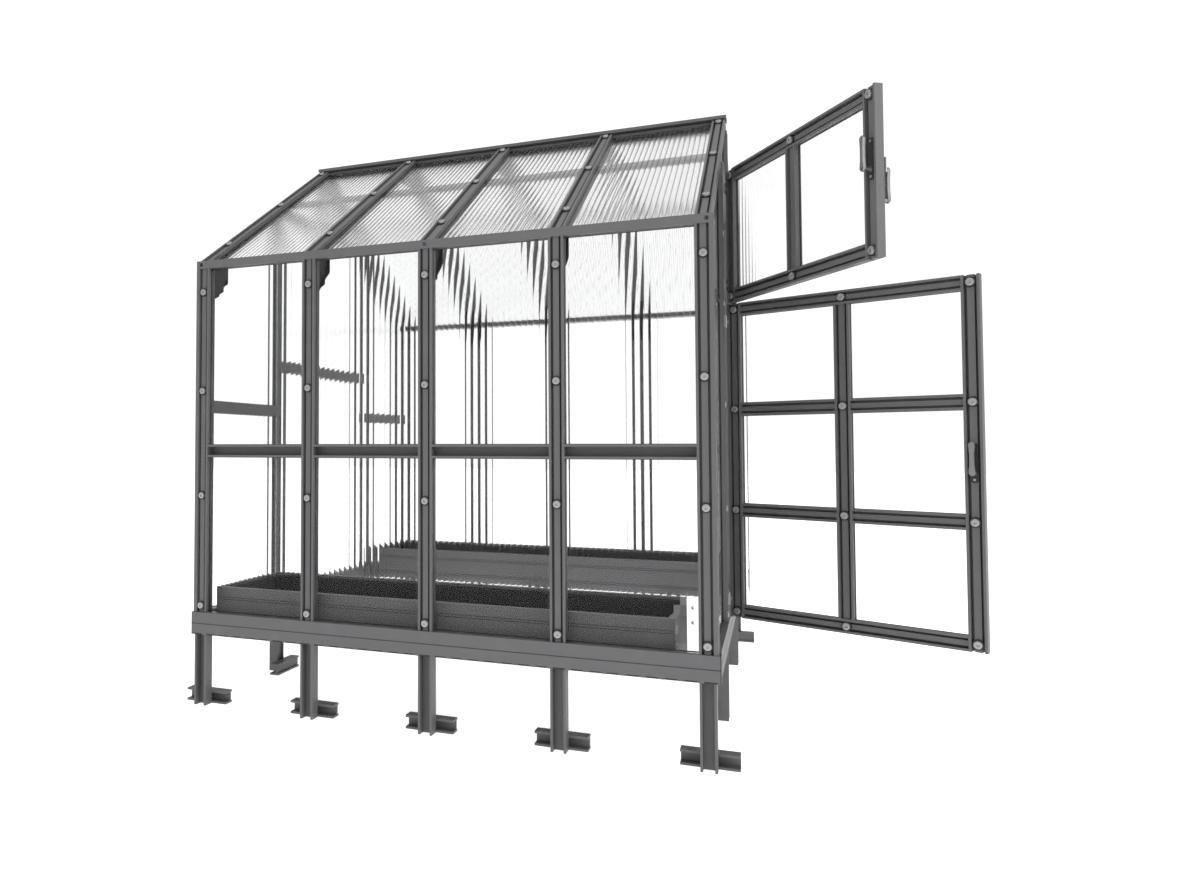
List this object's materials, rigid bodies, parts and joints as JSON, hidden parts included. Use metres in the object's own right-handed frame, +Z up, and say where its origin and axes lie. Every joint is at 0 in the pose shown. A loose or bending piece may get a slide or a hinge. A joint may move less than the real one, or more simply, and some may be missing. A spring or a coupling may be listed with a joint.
{
  "type": "small walk-in greenhouse",
  "caption": "Apex-roofed greenhouse of aluminium profile and fluted clear sheets, on ground feet, with a split hinged door, lever handles and two raised planting beds.",
  "frame": {"origin": "middle of the underside of the base frame, on the middle bearer; this is ground level once the legs are dug in", "axes": "+X along the front wall towards the door end, +Y from the front wall to the rear wall, +Z up"},
  "size_m": [2.4782, 1.9089, 2.1417],
  "materials": {
    "frame_profile": "satin anthracite powder coat",
    "base_board": "satin anthracite powder coat",
    "bed_board": "satin anthracite powder coat",
    "black_fittings": "fine textured black",
    "bed_liner": "matt black sheet",
    "bolt_zinc": "bright zinc",
    "hardware_zinc": "bright zinc",
    "handle_metal": "satin",
    "joiner_strip": "bright mill finish",
    "wall_sheet": "clear fluted twin-wall sheet",
    "roof_sheet": "hazy fluted twin-wall sheet"
  },
  "bodies": {
    "house": {"front_posts": "frame_profile", "rear_posts": "frame_profile", "left_end_studs": "frame_profile", "door_jambs": "frame_profile", "front_legs": "frame_profile", "rear_legs": "frame_profile", "side_legs": "frame_profile", "ground_feet": "frame_profile", "front_base_board": "base_board", "rear_base_board": "base_board", "end_base_boards": "base_board", "base_corner_caps": "black_fittings", "front_mid_rails": "frame_profile", "rear_mid_rails": "frame_profile", "left_end_rails": "frame_profile", "gable_frames": "frame_profile", "front_eave_beam": "frame_profile", "rear_eave_beam": "frame_profile", "ridge_beam": "frame_profile", "ridge_cap": "frame_profile", "front_rafters": "frame_profile", "rear_rafters": "frame_profile", "front_purlins": "frame_profile", "rear_purlins": "frame_profile", "knee_brackets": "black_fittings", "ridge_gussets": "frame_profile", "front_panes": "wall_sheet", "rear_panes": "wall_sheet", "left_end_panes": "wall_sheet", "right_side_panes": "wall_sheet", "gable_panes": "wall_sheet", "front_roof_panes": "roof_sheet", "rear_roof_panes": "roof_sheet", "pane_joiners": "joiner_strip", "wall_bolts": "bolt_zinc", "roof_bolts": "bolt_zinc", "bed_bearers": "frame_profile", "front_bed_boards": "bed_board", "rear_bed_boards": "bed_board", "bed_brackets": "hardware_zinc", "bed_liners": "bed_liner", "jamb_hinge_leaves": "hardware_zinc", "hinge_pins": "hardware_zinc"},
    "lower_door": {"lower_door_stiles": "frame_profile", "lower_door_rails": "frame_profile", "lower_door_panes": "wall_sheet", "lower_door_bolts": "bolt_zinc", "lower_hinge_leaves": "hardware_zinc", "lower_handle_plates": "black_fittings"},
    "upper_door": {"upper_door_stiles": "frame_profile", "upper_door_rails": "frame_profile", "upper_door_panes": "wall_sheet", "upper_door_bolts": "bolt_zinc", "upper_hinge_leaves": "hardware_zinc", "upper_handle_plates": "black_fittings"},
    "lower_handle": {"lower_levers": "handle_metal", "lower_latch_spindle": "handle_metal"},
    "upper_handle": {"upper_levers": "handle_metal", "upper_latch_spindle": "handle_metal"}
  },
  "joints": [
    {"name": "lower_door_hinge", "type": "hinge", "parent": "house", "child": "lower_door", "pos_m": [0.873, -0.369, 0.6], "axis": [0, 0, 1], "range_deg": [-46, 114]},
    {"name": "upper_door_hinge", "type": "hinge", "parent": "house", "child": "upper_door", "pos_m": [0.873, -0.369, 1.35], "axis": [0, 0, 1], "range_deg": [-12, 148]},
    {"name": "lower_handle_turn", "type": "hinge", "parent": "lower_door", "child": "lower_handle", "pos_m": [1.52934, -0.65028, 0.579], "axis": [-0.4067, -0.9135, 0], "range_deg": [-90, 0]},
    {"name": "upper_handle_turn", "type": "hinge", "parent": "upper_door", "child": "upper_handle", "pos_m": [1.25984, -0.96921, 1.364], "axis": [-0.848, -0.5299, 0], "range_deg": [-90, 0]}
  ]
}
